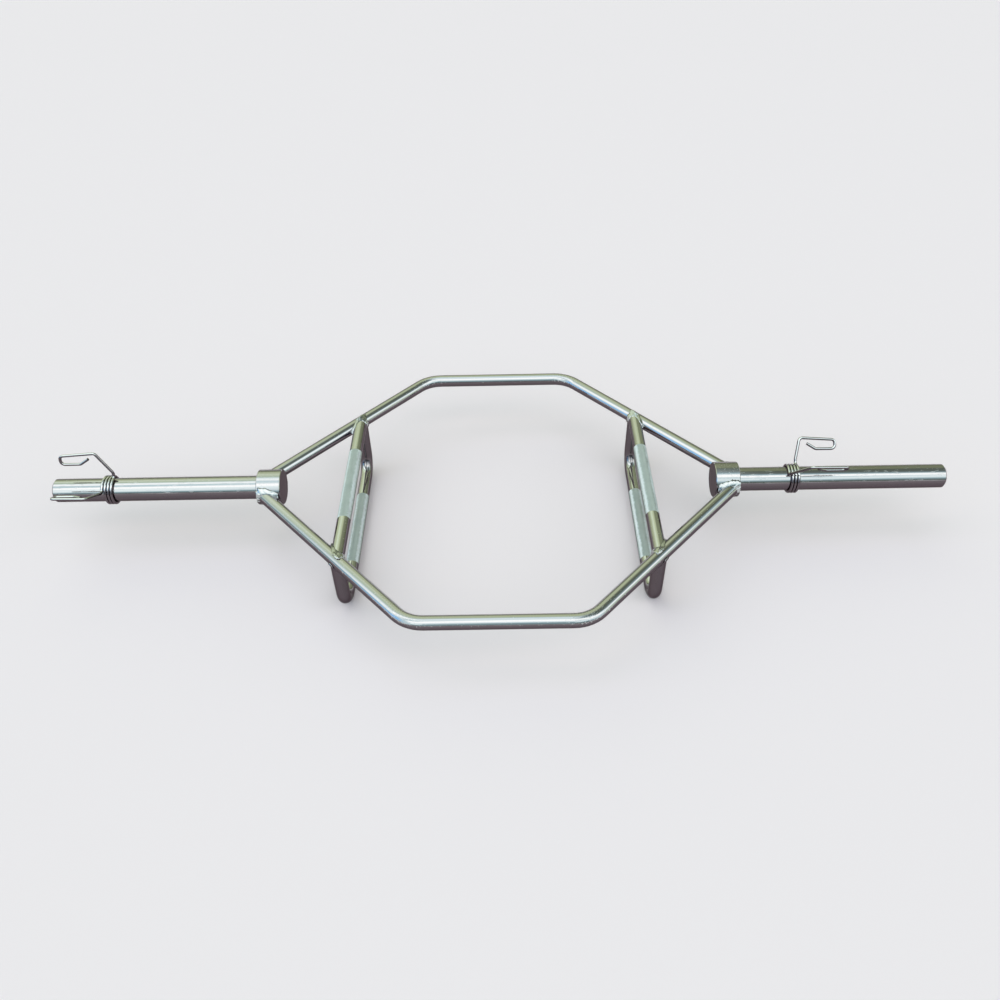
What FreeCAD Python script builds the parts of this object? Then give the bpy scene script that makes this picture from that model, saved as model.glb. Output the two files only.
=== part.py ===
"""Hex trap bar: a welded hexagon of bent tube with a plate sleeve at each end, two heights of grip
and a spring collar on each sleeve. Millimetres, +Z up, the bar stands on its two drop grips.
X runs along the sleeves, -Y is the front, and the origin is on the floor under the middle of the bar."""
import math
import os

import FreeCAD
import Part

V = FreeCAD.Vector

# Tube of the frame and of the grips
tube_d = 28.0
tube_wall = 4.0

# Hexagon, measured along the tubes' axes
frame_depth = 756.0
front_straight = 335.0
arm_angle = 47.0
frame_bend_r = 70.0

# Grips
grip_spacing = 630.0
grip_drop = 132.0
drop_bend_r = 42.0

# Hubs that join the arms to the sleeves, reaching both ways from where the arms' axes meet them
hub_d = 75.0
hub_inboard = 28.5
hub_outboard = 21.5
hub_edge = 1.2
end_disc_thickness = 4.0

# Plate sleeves
sleeve_d = 50.0
sleeve_wall = 5.0
sleeve_length = 435.0
sleeve_chamfer = 3.0
plug_thickness = 6.0
plug_recess = 1.5

# Weld beads
weld_reach = 4.5
weld_height = 3.8
grip_weld_height = 3.4

# Spring collars: one bent wire each, with the loops' rises measured from the coil's wire
wire_d = 6.0
coil_turns = 3
leg_spread = 75.0
foot_bend_r = 8.0
wire_bend_r = 8.0
leg_lean_start = 5.0
loop_start = 9.0
loop_end = 83.5
loop_far_rise = 57.2
loop_near_rise = 33.2
loop_end_run = 3.0
near_run_end = 43.0
tip_out = 24.5
tip_rise = 44.7
left_collar_out = 326.5
right_collar_out = 125.5
left_collar_roll = 29.0
right_collar_roll = 49.0

# Clearances
root_gap = 0.3
weld_fit = 0.05
press_fit = 0.1
collar_clearance = 0.3
turn_gap = 0.5

# Sizes that follow from the ones above
tube_r = tube_d / 2
hub_r = hub_d / 2
sleeve_r = sleeve_d / 2
frame_z = grip_drop + tube_r
arm_slope = math.tan(math.radians(arm_angle))
corner_x = front_straight / 2
corner_y = frame_depth / 2
arm_root_x = corner_x + corner_y / arm_slope
arm_end_x = corner_x + (corner_y - hub_r) / arm_slope
hub_inner_x = arm_end_x - hub_inboard
hub_face_x = arm_end_x + hub_outboard
bar_end_x = hub_face_x + sleeve_length
grip_x = grip_spacing / 2
grip_end_y = corner_y - (grip_x - corner_x) * arm_slope
coil_r = sleeve_r + collar_clearance + wire_d / 2
coil_pitch = wire_d + turn_gap
foot_angle = math.degrees(math.asin(foot_bend_r / (coil_r + foot_bend_r)))
foot_r = math.sqrt((coil_r + foot_bend_r) ** 2 - foot_bend_r ** 2)
wire_sweep = 360.0 * coil_turns + leg_spread
loop_near_r = coil_r + loop_near_rise
loop_turn_r = loop_near_r + 2 * wire_bend_r + loop_end_run

OUT = V(1, 0, 0)


def rod(start, end, radius):
    """Round bar between two points."""
    return Part.makeCylinder(radius, (end - start).Length, start, end - start)


def ring(start, end, outer_r, inner_r):
    """Round bar with a bore from end to end."""
    return rod(start, end, outer_r).cut(rod(start, end, inner_r))


def at_axis(x):
    """Point on the sleeves' common axis."""
    return V(x, 0, frame_z)


def rounded_route(points, bend_r):
    """Straight runs between the points, joined by tangent arcs at every inner point."""
    edges = []
    start = points[0]
    for before, corner, after in zip(points, points[1:], points[2:]):
        came = (corner - before).normalize()
        goes = (after - corner).normalize()
        half_turn = came.getAngle(goes) / 2
        cut_back = bend_r * math.tan(half_turn)
        inward = (goes - came).normalize() * (bend_r / math.cos(half_turn) - bend_r)
        arc_start = corner - came * cut_back
        arc_end = corner + goes * cut_back
        edges.append(Part.LineSegment(start, arc_start).toShape())
        edges.append(Part.Arc(arc_start, corner + inward, arc_end).toShape())
        start = arc_end
    edges.append(Part.LineSegment(start, points[-1]).toShape())
    return edges


def swept(edges, radius):
    """Round bar along a route of edges that run into each other smoothly."""
    route = Part.Wire(Part.__sortEdges__(edges))
    first = edges[0]
    begin = first.FirstParameter
    section = Part.makeCircle(radius, first.valueAt(begin), first.tangentAt(begin))
    return route.makePipeShell([Part.Wire(section)], True, False)


def bent_tube(points, bend_r):
    """Frame tube along a rounded route, open at both ends."""
    edges = rounded_route(points, bend_r)
    return swept(edges, tube_r).cut(swept(edges, tube_r - tube_wall))


def mirrored(shape, normal):
    """Copy of a piece on the other side of the bar's middle."""
    return shape.mirror(V(0, 0, 0), normal)


def arm_axis(end):
    """Axis of a right arm, from the sleeves' axis to the corner of the hexagon. end is -1 front, 1 rear."""
    return at_axis(arm_root_x), V(corner_x, end * corner_y, frame_z)


def grip_joint(end):
    """Point where the right level grip's axis meets an arm's axis."""
    return V(grip_x, end * grip_end_y, frame_z)


def frame_tube():
    """Rear half of the hexagon: one tube with two bends, coped to both hubs."""
    root, corner = arm_axis(1)
    route = [V(-root.x, root.y, root.z), V(-corner.x, corner.y, corner.z), corner, root]
    tube = bent_tube(route, frame_bend_r)
    cope = rod(at_axis(corner_x), at_axis(bar_end_x), hub_r + root_gap)
    return tube.cut(cope).cut(mirrored(cope, OUT))


def level_grip():
    """Straight grip between the front and rear arm, in the plane of the frame."""
    grip = ring(grip_joint(-1), grip_joint(1), tube_r, tube_r - tube_wall)
    for end in (-1, 1):
        grip = grip.cut(rod(*arm_axis(end), tube_r + root_gap))
    return grip


def drop_grip():
    """U-shaped grip that hangs below the level one, coped to the arms and the level grip."""
    down = V(0, 0, -grip_drop)
    front = grip_joint(-1)
    rear = grip_joint(1)
    grip = bent_tube([front, front + down, rear + down, rear], drop_bend_r)
    for line in (arm_axis(-1), arm_axis(1), (front, rear)):
        grip = grip.cut(rod(*line, tube_r + root_gap))
    return grip


def edged_rod(start, end, radius, chamfer):
    """Round bar with its far end chamfered."""
    bar = rod(start, end, radius)
    circles = [edge for edge in bar.Edges if edge.isClosed()]
    rim = [circle for circle in circles if (circle.CenterOfMass - end).Length < chamfer]
    return bar.makeChamfer(chamfer, rim)


def hub():
    """Stop collar: the arms are welded round it and the sleeve runs through its bore to the end disc."""
    ends = at_axis(hub_inner_x + end_disc_thickness), at_axis(hub_face_x)
    return edged_rod(*ends, hub_r, hub_edge).cut(rod(*ends, sleeve_r + press_fit))


def hub_end_disc():
    """Disc that closes the hub's inner end, with a broken edge."""
    return edged_rod(at_axis(hub_inner_x + end_disc_thickness), at_axis(hub_inner_x), hub_r, hub_edge)


def sleeve():
    """Plate sleeve: a tube from the end disc, through the hub, to the chamfered free end."""
    ends = at_axis(hub_inner_x + end_disc_thickness), at_axis(bar_end_x)
    return edged_rod(*ends, sleeve_r, sleeve_chamfer).cut(rod(*ends, sleeve_r - sleeve_wall))


def sleeve_end_plug():
    """Disc pressed into the free end of a sleeve."""
    outer = bar_end_x - plug_recess
    return rod(at_axis(outer - plug_thickness), at_axis(outer), sleeve_r - sleeve_wall - press_fit)


def hub_arm_weld():
    """Bead round the end of the rear arm on the hub."""
    arm = arm_axis(1)
    hub_axis = at_axis(hub_inner_x), at_axis(hub_face_x)
    bead = rod(*arm, tube_r + weld_reach).common(rod(*hub_axis, hub_r + weld_height))
    return bead.cut(rod(*arm, tube_r + weld_fit)).cut(rod(*hub_axis, hub_r + weld_fit))


def level_grip_weld():
    """Bead round the rear end of a level grip on its arm, broken where the drop grip's leg stands."""
    joint = grip_joint(1)
    grip = joint, grip_joint(0)
    arm = arm_axis(1)
    bead = rod(*grip, tube_r + weld_reach).common(rod(*arm, tube_r + weld_height))
    bead = bead.cut(rod(*grip, tube_r + weld_fit)).cut(rod(*arm, tube_r + 2 * weld_fit))
    return bead.cut(rod(joint, V(joint.x, joint.y, 0), tube_r + 3 * weld_fit))


def drop_grip_weld():
    """Bead round the top of a drop grip's rear leg, under the arm and the level grip."""
    joint = grip_joint(1)
    leg = joint, V(joint.x, joint.y, 0)
    grip = joint, grip_joint(0)
    arm = arm_axis(1)
    round_leg = rod(*leg, tube_r + weld_reach).cut(rod(*leg, tube_r + weld_fit))
    room = rod(*arm, tube_r + weld_height).fuse(rod(*grip, tube_r + grip_weld_height))
    bead = round_leg.common(room).cut(rod(*arm, tube_r + 2 * weld_fit)).cut(rod(*grip, tube_r + weld_fit))
    return bead.cut(level_grip_weld())


def front_and_rear(rear):
    """A rear piece and its front copy as one group."""
    return Part.Compound([rear, mirrored(rear, V(0, 1, 0))])


def wire_point(out, radius, angle):
    """Point of the collar's own frame: distance outboard, distance from the axis, turn about the axis."""
    turn = math.radians(angle)
    return V(out, radius * math.cos(turn), radius * math.sin(turn))


def coil_point(angle):
    """Point of the coil after a turn from the outer leg, moving inboard by one pitch a turn."""
    return wire_point(-coil_pitch * (angle - foot_angle) / 360, coil_r, angle)


def coil_tangent(angle):
    """Direction of the wire at that point of the coil."""
    turn = math.radians(angle)
    inboard = -coil_pitch / (2 * math.pi)
    return V(inboard, -coil_r * math.sin(turn), coil_r * math.cos(turn)).normalize()


def arc_from(start, tangent, end):
    """Arc that leaves start along the tangent and ends at end."""
    chord = end - start
    half = chord.Length / 2
    leaving = (tangent + chord.normalize()).normalize()
    middle = start + leaving * (half / leaving.dot(tangent))
    return Part.Arc(start, middle, end).toShape()


def biarc(start, start_tangent, end, end_tangent):
    """Two arcs that join smoothly and meet both tangents."""
    chord = end - start
    both = start_tangent + end_tangent
    spread = 2 * (1 - start_tangent.dot(end_tangent))
    along = chord.dot(both)
    reach = (-along + math.sqrt(along ** 2 + spread * chord.dot(chord))) / spread
    middle = (start + end + (start_tangent - end_tangent) * reach) / 2
    back = arc_from(end, end_tangent * -1, middle)
    return [arc_from(start, start_tangent, middle), back]


def loop_edges(foot_out, angle):
    """One handle of the collar, from its tip round the loop and down the leg to its foot on the coil."""
    tip = [(tip_out, coil_r + tip_rise), (near_run_end, loop_near_r)]
    far_end = [(loop_end, loop_near_r), (loop_end, loop_turn_r)]
    leg = [(loop_start, coil_r + loop_far_rise), (foot_out, foot_r + leg_lean_start), (foot_out, foot_r)]
    return rounded_route([wire_point(out, r, angle) for out, r in tip + far_end + leg], wire_bend_r)


def collar_edges():
    """Route of the collar's wire: outer handle, coil, inner handle."""
    coil_end = wire_sweep - foot_angle
    inward = wire_point(0, -1, 0)
    outward = wire_point(0, 1, wire_sweep)
    outer_foot = wire_point(0, foot_r, 0)
    inner_out = coil_point(coil_end).x
    inner_foot = wire_point(inner_out, foot_r, wire_sweep)
    edges = loop_edges(0, 0)
    edges += biarc(outer_foot, inward, coil_point(foot_angle), coil_tangent(foot_angle))
    quarters = math.ceil((coil_end - foot_angle) / 90)
    stops = [foot_angle + (coil_end - foot_angle) * step / quarters for step in range(quarters + 1)]
    for a, b in zip(stops, stops[1:]):
        edges += biarc(coil_point(a), coil_tangent(a), coil_point(b), coil_tangent(b))
    edges += biarc(coil_point(coil_end), coil_tangent(coil_end), inner_foot, outward)
    return edges + list(reversed(loop_edges(inner_out, wire_sweep)))


def least_gap(edges):
    """Least clear distance between two stretches of the wire, measured on points along it."""
    step = wire_d / 6
    points = Part.Wire(Part.__sortEdges__(edges)).discretize(Distance=step)
    apart = int(3 * wire_d / step)
    pairs = ((p, q) for i, p in enumerate(points) for q in points[i + apart:])
    return min((p - q).Length for p, q in pairs) - wire_d


def spring_collar(side, out, roll):
    """Spring collar on its sleeve, with the outer end of its coil at a distance from the hub's face."""
    collar = swept(collar_edges(), wire_d / 2)
    collar.rotate(V(0, 0, 0), OUT, roll)
    if side < 0:
        collar.rotate(V(0, 0, 0), V(0, 0, 1), 180)
    collar.translate(at_axis(side * (hub_face_x + out)))
    return collar


def build():
    """Every piece of the bar by its name."""
    rear_tube = frame_tube()
    pieces = {"front_frame_tube": mirrored(rear_tube, V(0, 1, 0)), "rear_frame_tube": rear_tube}
    right = {
        "level_grip": level_grip(),
        "drop_grip": drop_grip(),
        "hub": hub(),
        "hub_end_disc": hub_end_disc(),
        "sleeve": sleeve(),
        "sleeve_end_plug": sleeve_end_plug(),
        "hub_arm_welds": front_and_rear(hub_arm_weld()),
        "level_grip_welds": front_and_rear(level_grip_weld()),
        "drop_grip_welds": front_and_rear(drop_grip_weld()),
    }
    for name, shape in right.items():
        pieces["left_" + name] = mirrored(shape, OUT)
        pieces["right_" + name] = shape
    pieces["left_spring_collar"] = spring_collar(-1, left_collar_out, left_collar_roll)
    pieces["right_spring_collar"] = spring_collar(1, right_collar_out, right_collar_roll)
    return pieces


os.makedirs("parts", exist_ok=True)
for name, shape in build().items():
    shape.exportStep("parts/" + name + ".step")
    print(f"{name}: {len(shape.Solids)} solid(s), {shape.Volume / 1000:.2f} cm3, valid {shape.isValid()}")
print(f"least gap of the collar wire to itself: {least_gap(collar_edges()):.2f} mm")
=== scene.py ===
# %% [markdown]
# # A hex trap bar in chromed steel
# The bar is a welded hexagon of bent tube that a lifter stands inside. This lesson loads the packed
# model as a fixed frame, sets up the camera and a plain studio, and then gives each piece its finish:
# chrome plate on the tubes, rolled knurling on the grips and lumpy weld beads at the joints.

# %% Load the frame
import math

import bmesh
import bpy
from mathutils import Matrix, Vector, noise


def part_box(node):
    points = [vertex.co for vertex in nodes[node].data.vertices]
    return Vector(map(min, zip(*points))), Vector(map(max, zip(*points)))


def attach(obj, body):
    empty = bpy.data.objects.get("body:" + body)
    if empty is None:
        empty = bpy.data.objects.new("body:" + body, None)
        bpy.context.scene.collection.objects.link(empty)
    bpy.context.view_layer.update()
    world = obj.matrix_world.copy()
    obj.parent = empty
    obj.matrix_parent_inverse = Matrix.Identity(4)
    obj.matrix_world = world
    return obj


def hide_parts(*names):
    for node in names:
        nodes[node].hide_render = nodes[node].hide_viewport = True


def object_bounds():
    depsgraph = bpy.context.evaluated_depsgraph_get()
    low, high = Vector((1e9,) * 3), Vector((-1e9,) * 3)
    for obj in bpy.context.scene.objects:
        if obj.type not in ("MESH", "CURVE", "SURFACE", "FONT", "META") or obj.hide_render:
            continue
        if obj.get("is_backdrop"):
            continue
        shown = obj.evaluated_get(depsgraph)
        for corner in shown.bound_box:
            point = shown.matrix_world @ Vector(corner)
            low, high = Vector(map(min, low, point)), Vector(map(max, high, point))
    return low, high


MM = 0.001
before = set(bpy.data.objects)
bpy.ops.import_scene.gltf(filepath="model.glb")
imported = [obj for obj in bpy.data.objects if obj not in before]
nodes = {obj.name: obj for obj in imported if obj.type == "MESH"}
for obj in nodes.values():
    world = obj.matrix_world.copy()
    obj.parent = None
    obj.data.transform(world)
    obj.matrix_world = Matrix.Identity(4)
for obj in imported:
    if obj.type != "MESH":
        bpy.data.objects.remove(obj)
cad_low, cad_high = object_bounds()
print("loaded", len(nodes), "nodes, box", [round(v, 3) for v in cad_high - cad_low], "m")

# %% [markdown]
# ## Small helpers
# Blender's colour sockets want linear light, while the colours here are listed as sRGB hex values, so one
# function turns the one into the other. A second function adds a shader node with its settings, its
# links and, for a colour ramp, its stops, which keeps each material short enough to read.


# %% Colour and node helpers
def linear(hex_colour):
    """Linear RGBA from an sRGB hex value such as "#c8c8c4"."""
    channels = [int(hex_colour[i:i + 2], 16) / 255 for i in (1, 3, 5)]
    return [c / 12.92 if c <= 0.04045 else ((c + 0.055) / 1.055) ** 2.4 for c in channels] + [1.0]


def add_node(tree, kind, inputs=None, stops=(), **settings):
    """A new node; an input is a value or an output socket, and a ramp's stop is a place and a colour."""
    node = tree.nodes.new(kind)
    for name, value in settings.items():
        setattr(node, name, value)
    for name, value in (inputs or {}).items():
        named = [socket for socket in node.inputs if socket.enabled and socket.name == name]
        socket = named[0] if named else node.inputs[name]
        if isinstance(value, bpy.types.NodeSocket):
            tree.links.new(value, socket)
        else:
            socket.default_value = value
    # A new ramp already has two stops.
    for _ in stops[2:]:
        node.color_ramp.elements.new(1.0)
    for index, (position, hex_colour) in enumerate(stops):
        stop = node.color_ramp.elements[index]
        stop.position, stop.color = position, linear(hex_colour)
    return node


print("half of full sRGB is", round(linear("#808080")[0], 3), "of the light")

# %% [markdown]
# ## The camera
# The photograph was taken from head height in front of the bar, looking down by about 43 degrees with a
# wide lens. The place, the tilt and the lens were solved from the straight tubes, so they are written
# as a camera operator would note them: where the tripod stands and how the head is turned.

# %% Camera
CAMERA_PLACE = Vector((0.0189, -1.4059, 1.4003))
CAMERA_YAW, CAMERA_DOWN, CAMERA_ROLL = 0.61, 42.83, -1.37
SENSOR_MM = 36.0
FOCAL_PIXELS, PICTURE_PIXELS = 885.0, 1000.0

camera_data = bpy.data.cameras.new("camera")
camera_data.sensor_width = SENSOR_MM
camera_data.lens = SENSOR_MM * FOCAL_PIXELS / PICTURE_PIXELS
camera = bpy.data.objects.new("camera", camera_data)
bpy.context.scene.collection.objects.link(camera)
turn = Matrix.Rotation(math.radians(CAMERA_YAW), 4, "Z")
tilt = Matrix.Rotation(math.radians(90 - CAMERA_DOWN), 4, "X")
roll = Matrix.Rotation(math.radians(CAMERA_ROLL), 4, "Z")
camera.matrix_world = Matrix.Translation(CAMERA_PLACE) @ turn @ tilt @ roll
bpy.context.scene.camera = camera
print("camera lens", round(camera_data.lens, 2), "mm")

# %% [markdown]
# ## The studio
# Chrome has hardly any colour of its own: what the eye sees is the room. So the room is part of the
# finish. It could be built from cards and lamps, but those would stand in the way of other views, so it
# is painted on the world. Over the bar, from the front horizon up and on to the back, come a dim front,
# a pale wall, two bright strips with grey between them, an olive ceiling, lighter like linen towards
# the left, and the dark foot of the back wall. To the right the room is darker, at the far left a blue
# window stands low, and the two ends are plain.

# %% Colours of the room
bpy.context.scene.view_settings.view_transform = "Standard"
STRIP, PALE, GREY, SLATE = "#ffffff", "#e3ecee", "#b6c8ce", "#798c92"
DIM, DARK, WINDOW, HAZE = "#5c6462", "#555b53", "#8ab8e6", "#7ba3bd"
OLIVE, SAGE, MOSS, LINEN = "#a8af93", "#acb8a6", "#727761", "#c4ceba"
# A side is a place between far left at -1 and far right at 1, with its colours by degrees over the bar.
ROOM_SIDES = (
    (-0.998, ((0, SLATE), (180, SLATE))),
    (-0.98, ((0, WINDOW), (52, WINDOW), (64, HAZE), (76, SLATE), (110, SLATE), (180, MOSS))),
    (-0.90, ((0, HAZE), (14, HAZE), (24, WINDOW), (60, WINDOW), (68, GREY), (78, PALE), (90, PALE),
             (99, GREY), (112, SAGE), (180, OLIVE))),
    (-0.66, ((0, GREY), (66, GREY), (80, PALE), (87, STRIP), (97, STRIP), (103, GREY), (110, SAGE),
             (120, LINEN), (128, LINEN), (140, OLIVE), (180, OLIVE))),
    (-0.44, ((0, DIM), (12, SLATE), (18, GREY), (25, PALE), (46, PALE), (50, STRIP), (62, STRIP),
             (67, GREY), (82, GREY), (87, STRIP), (102, PALE), (108, SAGE), (118, SAGE), (124, LINEN),
             (136, LINEN), (147, OLIVE), (154, OLIVE), (166, MOSS), (180, DARK))),
    (0.05, ((0, DIM), (12, SLATE), (25, SLATE), (35, GREY), (45, PALE), (54, STRIP), (67, STRIP),
            (76, PALE), (86, GREY), (92, PALE), (108, GREY), (116, SAGE), (124, OLIVE), (154, OLIVE),
            (167, MOSS), (180, DARK))),
    (0.30, ((0, DARK), (10, DIM), (18, SLATE), (26, GREY), (36, PALE), (52, GREY), (58, STRIP),
            (70, STRIP), (75, GREY), (84, SLATE), (92, DIM), (108, DARK), (120, DARK), (125, MOSS),
            (172, MOSS), (180, DARK))),
    (0.60, ((0, DIM), (18, SLATE), (28, GREY), (38, PALE), (58, STRIP), (70, PALE), (78, DIM),
            (104, DARK), (124, DARK), (132, MOSS), (180, MOSS))),
    (0.76, ((0, SLATE), (24, GREY), (40, PALE), (58, STRIP), (74, PALE), (82, GREY), (90, DIM),
            (98, SLATE), (112, SLATE), (130, MOSS), (180, MOSS))),
    (0.90, ((0, GREY), (44, GREY), (56, STRIP), (64, PALE), (74, PALE), (90, STRIP), (102, GREY),
            (120, SAGE), (180, MOSS))),
    (0.98, ((0, SAGE), (60, SAGE), (76, GREY), (95, SAGE), (180, MOSS))),
    (0.998, ((0, SAGE), (180, SAGE))),
)
print("room of", len(ROOM_SIDES), "sides")

# %% World
CHROME = "#c3c4c4"
# The room's colours are given as they look in chrome, so the light makes up for what chrome swallows.
CHROME_GAIN = 1 / linear(CHROME)[1]


def half_turn_stops(bands):
    """Stops of a ramp from bands that are given in degrees of half a turn."""
    return [(degrees / 180, colour) for degrees, colour in bands]


world = bpy.data.worlds.new("studio")
bpy.context.scene.world = world
world.use_nodes = True
sky = world.node_tree
sky.nodes.clear()
direction = add_node(sky, "ShaderNodeTexCoord").outputs["Generated"]
axes = add_node(sky, "ShaderNodeSeparateXYZ", {"Vector": direction}).outputs
forward = add_node(sky, "ShaderNodeMath", {0: axes["Y"], 1: -1.0}, operation="MULTIPLY").outputs[0]
angle = add_node(sky, "ShaderNodeMath", {0: axes["Z"], 1: forward}, operation="ARCTAN2").outputs[0]
share = add_node(sky, "ShaderNodeMath", {0: angle, 1: math.pi}, operation="DIVIDE").outputs[0]
places = [place for place, _ in ROOM_SIDES]
sides = [add_node(sky, "ShaderNodeValToRGB", {"Fac": share}, half_turn_stops(bands)).outputs["Color"]
         for _, bands in ROOM_SIDES]
room = sides[0]
for here, further, side in zip(places, places[1:], sides[1:]):
    passed = add_node(sky, "ShaderNodeMapRange",
                      {"Value": axes["X"], "From Min": here, "From Max": further},
                      interpolation_type="SMOOTHSTEP").outputs["Result"]
    mixed = add_node(sky, "ShaderNodeMix", {"Factor": passed, "A": room, "B": side}, data_type="RGBA")
    room = mixed.outputs["Result"]
background = add_node(sky, "ShaderNodeBackground", {"Color": room, "Strength": CHROME_GAIN})
add_node(sky, "ShaderNodeOutputWorld", {"Surface": background.outputs[0]})
print("studio painted, strength", round(CHROME_GAIN, 2))

# %% [markdown]
# ## The floor
# A plain pale floor, a little mauve. A small one would show its edge in low views, so it is far larger
# than the picture. It lies just below the drop grips, so that the two surfaces never share a plane.

# %% Floor
FLOOR_HALF, FLOOR_BELOW = 1000.0, 0.3 * MM
FLOOR_COLOUR, FLOOR_ROUGH, FLOOR_SHINE = "#f4e9ee", 0.9, 0.1
floor_mesh = bpy.data.meshes.new("floor")
bm = bmesh.new()
bmesh.ops.create_grid(bm, x_segments=1, y_segments=1, size=FLOOR_HALF)
bmesh.ops.translate(bm, verts=bm.verts, vec=(0, 0, cad_low.z - FLOOR_BELOW))
bm.to_mesh(floor_mesh)
bm.free()
floor = bpy.data.objects.new("floor", floor_mesh)
bpy.context.scene.collection.objects.link(floor)
# Matte paint scatters light evenly, so the bar leaves a soft shadow on it and no mirror image.
paint = bpy.data.materials.new("matte floor paint")
paint.use_nodes = True
floor_shader = paint.node_tree.nodes["Principled BSDF"]
floor_shader.inputs["Base Color"].default_value = linear(FLOOR_COLOUR)
floor_shader.inputs["Roughness"].default_value = FLOOR_ROUGH
floor_shader.inputs["Specular IOR Level"].default_value = FLOOR_SHINE
floor_mesh.materials.append(paint)
floor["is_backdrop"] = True
print("floor", 2 * FLOOR_HALF, "m square")

# %% [markdown]
# ## Wear and painted shade on the plate
# Handling leaves small dull scuffs on a plated bar, which gather at the bends. The sides and undersides
# are painted darker in a brownish mauve, a painted shade that stands for the reflection of a dark floor,
# and the scuffs lift it a little. Both could be painted by hand, but a rule covers every tube at once:
# the scuffs are the peaks of a fine noise, and the painted shade follows the way that the surface faces,
# broken up a little so that it has no drawn line.

# %% Scuffs and painted shade
# Real scratches are finer than a pixel, so the scuffs are drawn as coarse as they need to show.
SCUFF_MM, SCUFF_EDGE, SCUFF_ROUGH = 3.0, 0.1, 0.3
BEND_X, BEND_NEAR, BEND_FAR = 167.5 * MM, 15 * MM, 60 * MM
ARM_FROM, ARM_TO = 160 * MM, 230 * MM
# Painted shade: colours that darken the sides and undersides, standing for the reflection of a dark
# floor.
PAINTED_SHADE_SOFT, PAINTED_SHADE_DEEP = "#756d71", "#655c60"
SHADE_BREAK = 0.12


def scuff_marks(tree, place, from_middle, at_bends, length, start):
    """Dull patches, drawn out along the bar and gathered at its bends, as roughness to add."""
    drawn = add_node(tree, "ShaderNodeMapping", {"Vector": place, "Scale": (1 / length, 1, 1)})
    marks = add_node(tree, "ShaderNodeTexNoise",
                     {"Vector": drawn.outputs[0], "Scale": 1 / (SCUFF_MM * MM), "Detail": 3.0})
    past = add_node(tree, "ShaderNodeMath", {0: from_middle, 1: BEND_X}, operation="SUBTRACT")
    away = add_node(tree, "ShaderNodeMath", {0: past.outputs[0]}, operation="ABSOLUTE")
    more = add_node(tree, "ShaderNodeMapRange",
                    {"Value": away.outputs[0], "From Min": BEND_NEAR, "From Max": BEND_FAR,
                     "To Min": at_bends, "To Max": 0.0})
    rubbed = add_node(tree, "ShaderNodeMath", {0: marks.outputs["Fac"], 1: more.outputs["Result"]},
                      operation="ADD")
    dull = add_node(tree, "ShaderNodeMapRange",
                    {"Value": rubbed.outputs[0], "From Min": start, "From Max": start + SCUFF_EDGE,
                     "To Max": SCUFF_ROUGH})
    return dull.outputs["Result"]


def painted_shade_height(tree, facing, from_middle, scuffs, on_arms, scuff_lift):
    """How far up the surface faces, lowered along the arms by their painted shade and raised where scuffs
    lift the painted shade.
    """
    arms = add_node(tree, "ShaderNodeMapRange",
                    {"Value": from_middle, "From Min": ARM_FROM, "From Max": ARM_TO, "To Max": on_arms})
    lowered = add_node(tree, "ShaderNodeMath", {0: facing, 1: arms.outputs["Result"]},
                       operation="SUBTRACT")
    raised = add_node(tree, "ShaderNodeMath", {0: scuffs, 1: scuff_lift, 2: lowered.outputs[0]},
                      operation="MULTIPLY_ADD")
    return raised.outputs[0]


print("scuffs", SCUFF_MM, "mm wide, most of them", round(BEND_X / MM, 1), "mm from the middle")

# %% [markdown]
# ## Chrome plate
# The tubes are steel, polished and plated with chromium: a mirror that takes away nearly half the light,
# with faint smears and a surface that isn't perfectly straight. One function makes all the plated
# finishes, because they differ only in how they were worked and worn and in their painted shade. Its
# mirror needs no pattern of its own: the smears go into the roughness, the waves into a shallow bump and
# the painted shade, dark where the surface faces sideways and down, into the base colour.

# %% Chrome material
EDGE_TINT = "#bcb6b8"
SMEAR_LOW, SMEAR_HIGH = 0.3, 0.75
GLOSS_CLEAN, GLOSS_SMEARED = 0.6, 1.7
# Each painted shade is the upward part of the normal at which it is deep, soft and gone.
TUBE_PAINTED_SHADE, FRONT_PAINTED_SHADE = (0.0, 0.3, 0.42), (0.0, 0.38, 0.47)
GRIP_PAINTED_SHADE, WIRE_PAINTED_SHADE = (0.1, 0.5, 0.98), (0.2, 0.55, 0.68)


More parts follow.
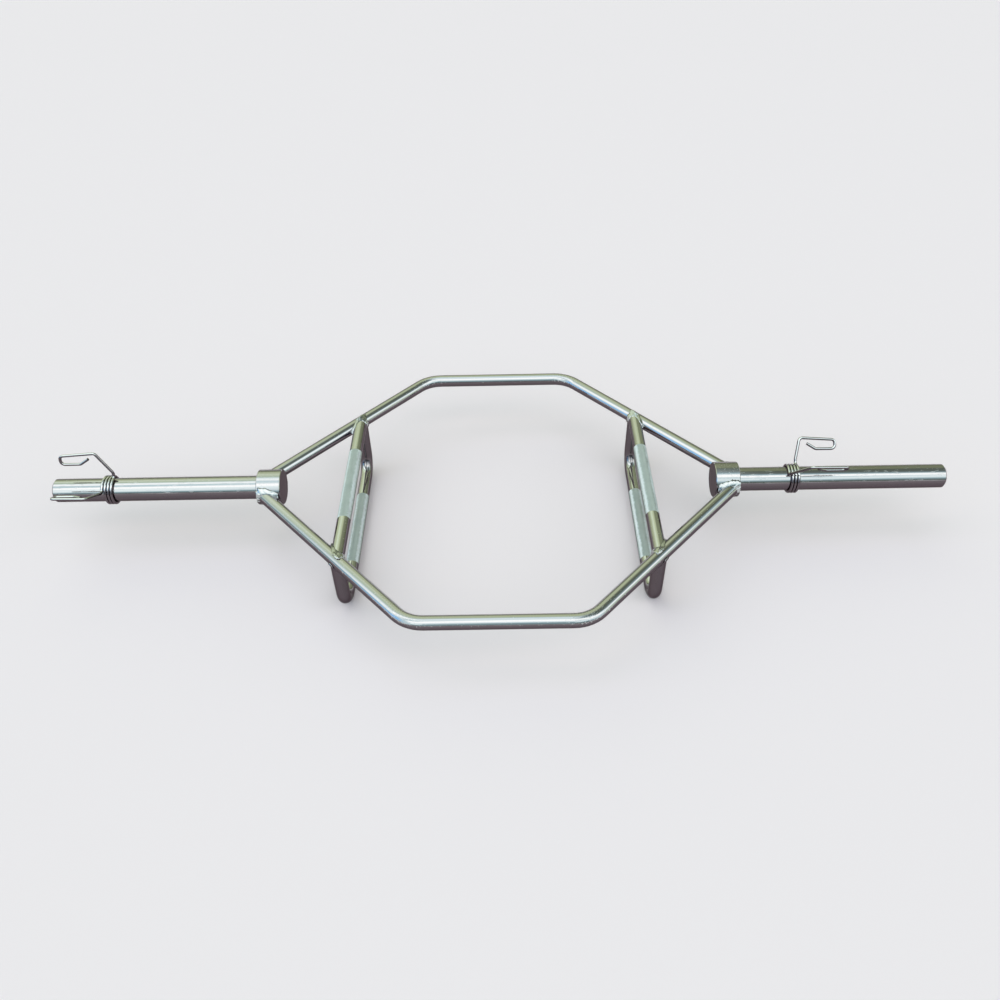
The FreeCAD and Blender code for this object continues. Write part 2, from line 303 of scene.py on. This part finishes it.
def chrome_plate(name, roughness, plate=CHROME, painted_shade=TUBE_PAINTED_SHADE, arm_painted_shade=0.0, bend_scuff=0.0, scuff_lift=0.0,
                 scuff_length=1.0, scuff_from=0.62, smear_mm=40, wave_mm=30, wave_depth_mm=0.03):
    """Plated steel: a mirror with smears and scuffs in its gloss, a slight waviness and a painted shade
    below.
    """
    material = bpy.data.materials.new(name)
    material.use_nodes = True
    tree = material.node_tree
    inputs = tree.nodes["Principled BSDF"].inputs
    inputs["Metallic"].default_value = 1.0
    inputs["Specular Tint"].default_value = linear(EDGE_TINT)
    inputs["Base Color"].default_value = linear(plate)
    coordinates = add_node(tree, "ShaderNodeTexCoord").outputs
    place = coordinates["Object"]
    along = add_node(tree, "ShaderNodeSeparateXYZ", {"Vector": place}).outputs["X"]
    from_middle = add_node(tree, "ShaderNodeMath", {0: along}, operation="ABSOLUTE").outputs[0]
    smear = add_node(tree, "ShaderNodeTexNoise",
                     {"Vector": place, "Scale": 1 / (smear_mm * MM), "Detail": 4.0}).outputs["Fac"]
    gloss = add_node(tree, "ShaderNodeMapRange",
                     {"Value": smear, "From Min": SMEAR_LOW, "From Max": SMEAR_HIGH,
                      "To Min": roughness * GLOSS_CLEAN, "To Max": roughness * GLOSS_SMEARED})
    scuffs = scuff_marks(tree, place, from_middle, bend_scuff, scuff_length, scuff_from)
    rough = add_node(tree, "ShaderNodeMath", {0: gloss.outputs["Result"], 1: scuffs}, operation="ADD")
    tree.links.new(rough.outputs[0], inputs["Roughness"])
    # Painted shade: the base colour darkens where the surface faces sideways and down, standing for the
    # reflection of a dark floor.
    if painted_shade:
        facing = add_node(tree, "ShaderNodeSeparateXYZ", {"Vector": coordinates["Normal"]}).outputs["Z"]
        height = painted_shade_height(tree, facing, from_middle, scuffs, arm_painted_shade, scuff_lift)
        broken = add_node(tree, "ShaderNodeMath", {0: smear, 1: SHADE_BREAK, 2: height},
                          operation="MULTIPLY_ADD")
        stops = [(max(level + SHADE_BREAK / 2, 0.0), colour)
                 for level, colour in zip(painted_shade, (PAINTED_SHADE_DEEP, PAINTED_SHADE_SOFT, plate))]
        colours = add_node(tree, "ShaderNodeValToRGB", {"Fac": broken.outputs[0]}, stops)
        tree.links.new(colours.outputs["Color"], inputs["Base Color"])
    wave = add_node(tree, "ShaderNodeTexNoise",
                    {"Vector": place, "Scale": 1 / (wave_mm * MM), "Detail": 1.0})
    bump = add_node(tree, "ShaderNodeBump",
                    {"Height": wave.outputs["Fac"], "Distance": wave_depth_mm * MM, "Strength": 1.0})
    tree.links.new(bump.outputs["Normal"], inputs["Normal"])
    return material


print("chrome keeps", round(linear(CHROME)[1], 2), "of the light")

# %% Finish of each node
# How far the scuffs lift the painted shade.
SCUFF_SHADE_LIFT = 0.6
finishes = {
    # Polished tube: a clear mirror, with the painted shade high on its arms and pale, dull scuffs at its
    # bends.
    "front_frame_tube": chrome_plate("polished chrome plate, front tube", 0.06, painted_shade=FRONT_PAINTED_SHADE,
                                     arm_painted_shade=0.09, bend_scuff=0.1, scuff_lift=SCUFF_SHADE_LIFT),
    # The same mirror with the painted shade lower on its arms, so that it looks lighter from the front.
    "rear_frame_tube": chrome_plate("polished chrome plate, rear tube", 0.06, arm_painted_shade=-0.1,
                                    bend_scuff=0.08, scuff_lift=SCUFF_SHADE_LIFT),
    # The grips are painted lighter on top, and their painted shade deepens slowly down the sides.
    "grip": chrome_plate("polished chrome plate, grips", 0.07, plate="#d0d3d1", painted_shade=GRIP_PAINTED_SHADE,
                         wave_depth_mm=0.01),
    # The lathe's marks show through the plate and make the mirror wavy.
    "hub": chrome_plate("chrome plate on turned steel", 0.07, scuff_from=0.58, wave_mm=10,
                        wave_depth_mm=0.08),
    # Weights that slide on and off rub dull streaks along the mirror.
    "sleeve": chrome_plate("chrome plate rubbed by weights", 0.06, scuff_length=6.0, scuff_from=0.57),
    # Bright drawn wire: a thin round mirror, with a lighter plate above and painted shade below.
    "collar": chrome_plate("plated spring wire", 0.06, plate="#dadedd", painted_shade=WIRE_PAINTED_SHADE),
}
# The discs and plugs have the mirror of the tubes, with the same painted shade on their upright faces.
disc_chrome = chrome_plate("polished chrome plate", 0.06)
for name, node in nodes.items():
    kind = name if name in finishes else name.split("_")[-1]
    node.data.materials.clear()
    node.data.materials.append(finishes.get(kind, disc_chrome))
print("chrome on", len(nodes), "nodes")

# %% [markdown]
# ## Knurling
# The middle of each grip is rolled between two wheels that press crossed grooves into the tube, so the
# metal stands up in small diamonds. A bump map would vanish at the tube's edge, so the diamonds are
# real: a flat sheet of square cells is rolled into a tube, and every second corner of the cells is
# raised. Split along the low corners, each raised one becomes a four-sided pyramid. The rims are turned
# in and joined through the tube's wall, which closes the sleeve.

# %% Knurl
GROOVE_PITCH, KNURL_HALF = 1.4 * MM, 107 * MM
KNURL_LIFT, KNURL_HEIGHT, KNURL_SUNK = 0.05 * MM, 0.4 * MM, 0.5 * MM
SEAM_SHARE = 0.05
grip_low, grip_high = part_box("left_level_grip")
TUBE_R = (grip_high.z - grip_low.z) / 2


def new_piece(name, bm, material, body, smooth):
    """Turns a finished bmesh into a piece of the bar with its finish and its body."""
    mesh = bpy.data.meshes.new(name)
    bm.to_mesh(mesh)
    bm.free()
    if smooth:
        mesh.shade_smooth()
    else:
        mesh.shade_flat()
    mesh.materials.append(material)
    piece = bpy.data.objects.new(name, mesh)
    bpy.context.scene.collection.objects.link(piece)
    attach(piece, body)
    print(name, len(mesh.polygons), "faces")
    return piece


def knurl_band(name, centre, material):
    """Tube of raised diamonds round a grip that runs along Y."""
    cell = GROOVE_PITCH / math.sqrt(2)
    around = 2 * round(math.pi * TUBE_R / cell)
    along = 2 * round(KNURL_HALF / cell)
    bm = bmesh.new()
    bmesh.ops.create_grid(bm, x_segments=around, y_segments=along, size=1.0)
    from_top = bm.verts.layers.float.new("from_top")
    for v in bm.verts:
        column, row = round((v.co.x + 1) / 2 * around), round((v.co.y + 1) / 2 * along)
        raised = KNURL_HEIGHT if (column + row) % 2 == 0 and 0 < row < along else 0.0
        turned = 2 * math.pi * column / around
        v[from_top] = math.acos(math.cos(turned)) / math.pi
        radius = TUBE_R + KNURL_LIFT + raised
        v.co = Vector((radius * math.sin(turned), v.co.y * KNURL_HALF, radius * math.cos(turned)))
    bmesh.ops.remove_doubles(bm, verts=bm.verts, dist=cell * SEAM_SHARE)
    bmesh.ops.triangulate(bm, faces=bm.faces, quad_method="SHORT_EDGE")
    rims = [e for e in bm.edges if e.is_boundary]
    inner = bmesh.ops.extrude_edge_only(bm, edges=rims)["geom"]
    shrink = 1 - KNURL_SUNK / TUBE_R
    bmesh.ops.scale(bm, verts=[v for v in inner if isinstance(v, bmesh.types.BMVert)],
                    vec=(shrink, 1, shrink))
    bmesh.ops.bridge_loops(bm, edges=[e for e in bm.edges if e.is_boundary])
    bm.normal_update()
    bmesh.ops.recalc_face_normals(bm, faces=bm.faces)
    bmesh.ops.translate(bm, verts=bm.verts, vec=centre)
    # The drop grips stand on the floor, so their lowest diamonds are pressed flat.
    for v in bm.verts:
        v.co.z = max(v.co.z, cad_low.z)
    return new_piece(name, bm, material, "bar", smooth=False)


print("grip tube", round(2 * TUBE_R / MM, 2), "mm across, knurled over", round(2 * KNURL_HALF / MM), "mm")

# %% [markdown]
# ## Finish of the knurl
# From where the photograph was taken the grooves are finer than a pixel, so the eye sees only how much
# light the diamonds give back. The colours are painted in bands by the angle from the top, which each
# corner of the sleeve keeps as an attribute: the plain knurl grey on top, a painted highlight on the
# shoulders, and below them the same painted shade as on the tubes. A fine noise breaks up the band edges.

# %% Knurl finish and pieces
# The knurl's plain grey and the painted highlight on its shoulders; the bands add painted shade from the
# sides down.
KNURL_PLAIN, KNURL_PAINTED_HIGHLIGHT = "#c0cac7", "#ebf3f6"
KNURL_BANDS = ((0, KNURL_PLAIN), (26, KNURL_PLAIN), (40, KNURL_PAINTED_HIGHLIGHT), (54, KNURL_PAINTED_HIGHLIGHT), (68, KNURL_PLAIN),
               (100, PAINTED_SHADE_SOFT), (180, PAINTED_SHADE_DEEP))
KNURL_ROUGH, KNURL_SCUFF_FROM = 0.45, 0.9
KNURL_BREAK_MM, KNURL_BREAK = 4.0, 0.16


def knurled_plate(name):
    """Chrome whose many small slopes blur the room into a satin grey, painted in bands of highlight and
    shade from top to bottom.
    """
    material = chrome_plate(name, KNURL_ROUGH, painted_shade=None, scuff_from=KNURL_SCUFF_FROM)
    tree = material.node_tree
    from_top = add_node(tree, "ShaderNodeAttribute", attribute_name="from_top").outputs["Fac"]
    place = add_node(tree, "ShaderNodeTexCoord").outputs["Object"]
    band_noise = add_node(tree, "ShaderNodeTexNoise",
                     {"Vector": place, "Scale": 1 / (KNURL_BREAK_MM * MM), "Detail": 2.0}).outputs["Fac"]
    broken = add_node(tree, "ShaderNodeMath", {0: band_noise, 1: KNURL_BREAK, 2: from_top},
                      operation="MULTIPLY_ADD").outputs[0]
    centred = add_node(tree, "ShaderNodeMath", {0: broken, 1: KNURL_BREAK / 2}, operation="SUBTRACT")
    colours = add_node(tree, "ShaderNodeValToRGB", {"Fac": centred.outputs[0]},
                       half_turn_stops(KNURL_BANDS))
    tree.links.new(colours.outputs["Color"], tree.nodes["Principled BSDF"].inputs["Base Color"])
    return material


knurl_chrome = knurled_plate("knurled chrome plate")
for side in ("left", "right"):
    for grip in ("level_grip", "drop_grip"):
        low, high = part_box(f"{side}_{grip}")
        centre = Vector(((low.x + high.x) / 2, 0, low.z + TUBE_R))
        knurl_band(f"{side}_{grip}_knurl", centre, knurl_chrome)

# %% [markdown]
# ## Weld beads
# Where one tube ends on another, a welder lays a bead round it, drop by drop. The bead follows the line
# in which the two round surfaces meet, which rises and falls like a saddle. A small circle, stretched to
# the bead's two legs, is spun round the tube's axis into a ring. Every point of the ring then slides
# along the tube until it lies on the saddle. The section is flattened towards the straight line between
# its legs, as weld metal lies in a corner, and a ripple and a few lumps make the drops.

# %% Places of the joints
ARM_ANGLE = math.radians(47)
hub_low, hub_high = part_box("right_hub")
HUB_X, HUB_HALF = (hub_low.x + hub_high.x) / 2, (hub_high.x - hub_low.x) / 2
HUB_R, AXIS_Z = (hub_high.z - hub_low.z) / 2, (hub_high.z + hub_low.z) / 2
FRAME_HALF_DEPTH = cad_high.y - TUBE_R
GRIP_X = sum(corner.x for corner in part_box("right_level_grip")) / 2
ARM_ROOT_X = BEND_X + FRAME_HALF_DEPTH / math.tan(ARM_ANGLE)
GRIP_END_Y = (ARM_ROOT_X - GRIP_X) * math.tan(ARM_ANGLE)
print("arms meet", round(ARM_ROOT_X, 4), "m out, grips end", round(GRIP_END_Y, 4), "m from the middle")

# %% Shape of a bead
BEAD_SIDES, BEAD_STEPS = 16, 160
BEAD_FLAT = 0.55
DROP_LENGTH, DROP_RIPPLE = 7.0 * MM, 0.05
LUMP_SIZE, LUMP_SHARE = 6.5 * MM, 0.36
LUMP_FADE, LUMP_STEP, LUMP_LAYERS = 0.8, 2.0, 2


def saddle(beside, branch, parent, parent_r):
    """How far along the branch a line that runs beside its axis comes out of the parent tube."""
    lean, across = branch.dot(parent), beside.dot(parent)
    a = 1 - lean ** 2
    c = beside.length_squared - across ** 2 - parent_r ** 2
    return (lean * across + math.sqrt(max((lean * across) ** 2 - a * c, 0.0))) / a


def add_bead(bm, legs, joint, branch, parents):
    """Adds a bead round a branch tube; its legs reach out over the parents and up the branch."""
    ring = bmesh.new()
    bmesh.ops.create_circle(ring, segments=BEAD_SIDES, radius=1.0)
    bmesh.ops.rotate(ring, verts=ring.verts, cent=(0, 0, 0), matrix=Matrix.Rotation(math.pi / 2, 3, "X"))
    bmesh.ops.scale(ring, verts=ring.verts, vec=(legs[0], 1, legs[1]))
    bmesh.ops.translate(ring, verts=ring.verts, vec=(TUBE_R, 0, 0))
    bmesh.ops.spin(ring, geom=ring.verts[:] + ring.edges[:], cent=(0, 0, 0), axis=(0, 0, 1),
                   angle=2 * math.pi, steps=BEAD_STEPS, use_merge=True)
    side = branch.orthogonal().normalized()
    turn = Matrix((side, branch.cross(side), branch)).transposed()
    for v in ring.verts:
        core = Vector((v.co.x, v.co.y, 0)).normalized() * TUBE_R
        drop = DROP_RIPPLE * math.sin(2 * math.pi * math.atan2(core.y, core.x) * TUBE_R / DROP_LENGTH)
        lump = LUMP_SHARE * noise.fractal((joint + turn @ v.co) / LUMP_SIZE, LUMP_FADE, LUMP_STEP,
                                          LUMP_LAYERS)
        section = v.co - core
        out, up = section.xy.length / legs[0], abs(section.z) / legs[1]
        section *= (1 + drop + lump) * (1 - BEAD_FLAT * (1 - 1 / (out + up)))
        beside = turn @ Vector((core.x + section.x, core.y + section.y, 0))
        along = max(saddle(beside, branch, direction, radius) for direction, radius, ends in parents
                    if not ends or beside.dot(direction) > 0)
        v.co = joint + beside + branch * (along + section.z)
    ring.normal_update()
    bmesh.ops.recalc_face_normals(ring, faces=ring.faces)
    mesh = bpy.data.meshes.new("bead")
    ring.to_mesh(mesh)
    ring.free()
    bm.from_mesh(mesh)
    bpy.data.meshes.remove(mesh)


print("a bead has", BEAD_SIDES * BEAD_STEPS, "faces")

# %% [markdown]
# ## Beads on the bar
# Each side has three kinds of joint, front and rear: an arm on the hub, a level grip on an arm, and a
# drop grip's leg in the corner that these two make. The hub is short, so its beads would hang over its
# faces; a welder stops at the edge, and so the beads are drawn in softly there.

# %% Bead pieces
# Legs over the parent and up the branch.
HUB_BEAD, LEVEL_BEAD, DROP_BEAD = (10.0 * MM, 6.0 * MM), (3.5 * MM, 8.0 * MM), (3.0 * MM, 4.0 * MM)
SADDLE_EASE, FACE_EASE = 0.8 * MM, 1.2 * MM
# The bead is bright almost all round: painted shade lies only on what faces the floor.
WELD_PAINTED_SHADE = (-0.1, -0.1, -0.1)


def ease_onto_hub(beads, hub_x):
    """Draws in what would hang over the hub's faces, so that the bead ends there without a step."""
    for v in beads.verts:
        aside = v.co.x - hub_x
        past = abs(aside) - HUB_HALF + FACE_EASE
        if past > 0:
            v.co.x -= math.copysign(past - FACE_EASE * (1 - math.exp(-past / FACE_EASE)), aside)


# Plate over rough weld metal: it glints on every drop, and no clear image forms in it.
weld_chrome = chrome_plate("chromed weld metal", 0.12, plate="#c6cac9", painted_shade=WELD_PAINTED_SHADE, smear_mm=8,
                           wave_mm=4, wave_depth_mm=0.1)
for side, right in (("left", -1), ("right", 1)):
    hub_beads, level_beads, drop_beads = bmesh.new(), bmesh.new(), bmesh.new()
    for rear in (-1, 1):
        arm = Vector((-right * math.cos(ARM_ANGLE), rear * math.sin(ARM_ANGLE), 0))
        grip = Vector((0, -rear, 0))
        root = Vector((right * ARM_ROOT_X, 0, AXIS_Z))
        joint = Vector((right * GRIP_X, rear * GRIP_END_Y, AXIS_Z))
        # A parent is its direction, its radius and whether it ends at the joint.
        hub_parent = (Vector((1, 0, 0)), HUB_R, False)
        arm_parent, grip_parent = (arm, TUBE_R + SADDLE_EASE, False), (grip, TUBE_R + SADDLE_EASE, True)
        add_bead(hub_beads, HUB_BEAD, root, arm, [hub_parent])
        add_bead(level_beads, LEVEL_BEAD, joint, grip, [arm_parent])
        add_bead(drop_beads, DROP_BEAD, joint, Vector((0, 0, -1)), [arm_parent, grip_parent])
    ease_onto_hub(hub_beads, right * HUB_X)
    for kind, beads, finish in (("hub_arm", hub_beads, weld_chrome),
                                ("level_grip", level_beads, weld_chrome),
                                ("drop_grip", drop_beads, finishes["grip"])):
        piece = new_piece(f"{side}_{kind}_beads", beads, finish, "bar", smooth=True)
        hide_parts(f"{side}_{kind}_welds")

# %% [markdown]
# ## Size
# The visual model must stay in the box of the solids, so both boxes are printed.

# %% Size
low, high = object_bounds()
print("visual box", [round(v, 4) for v in high - low], "m")
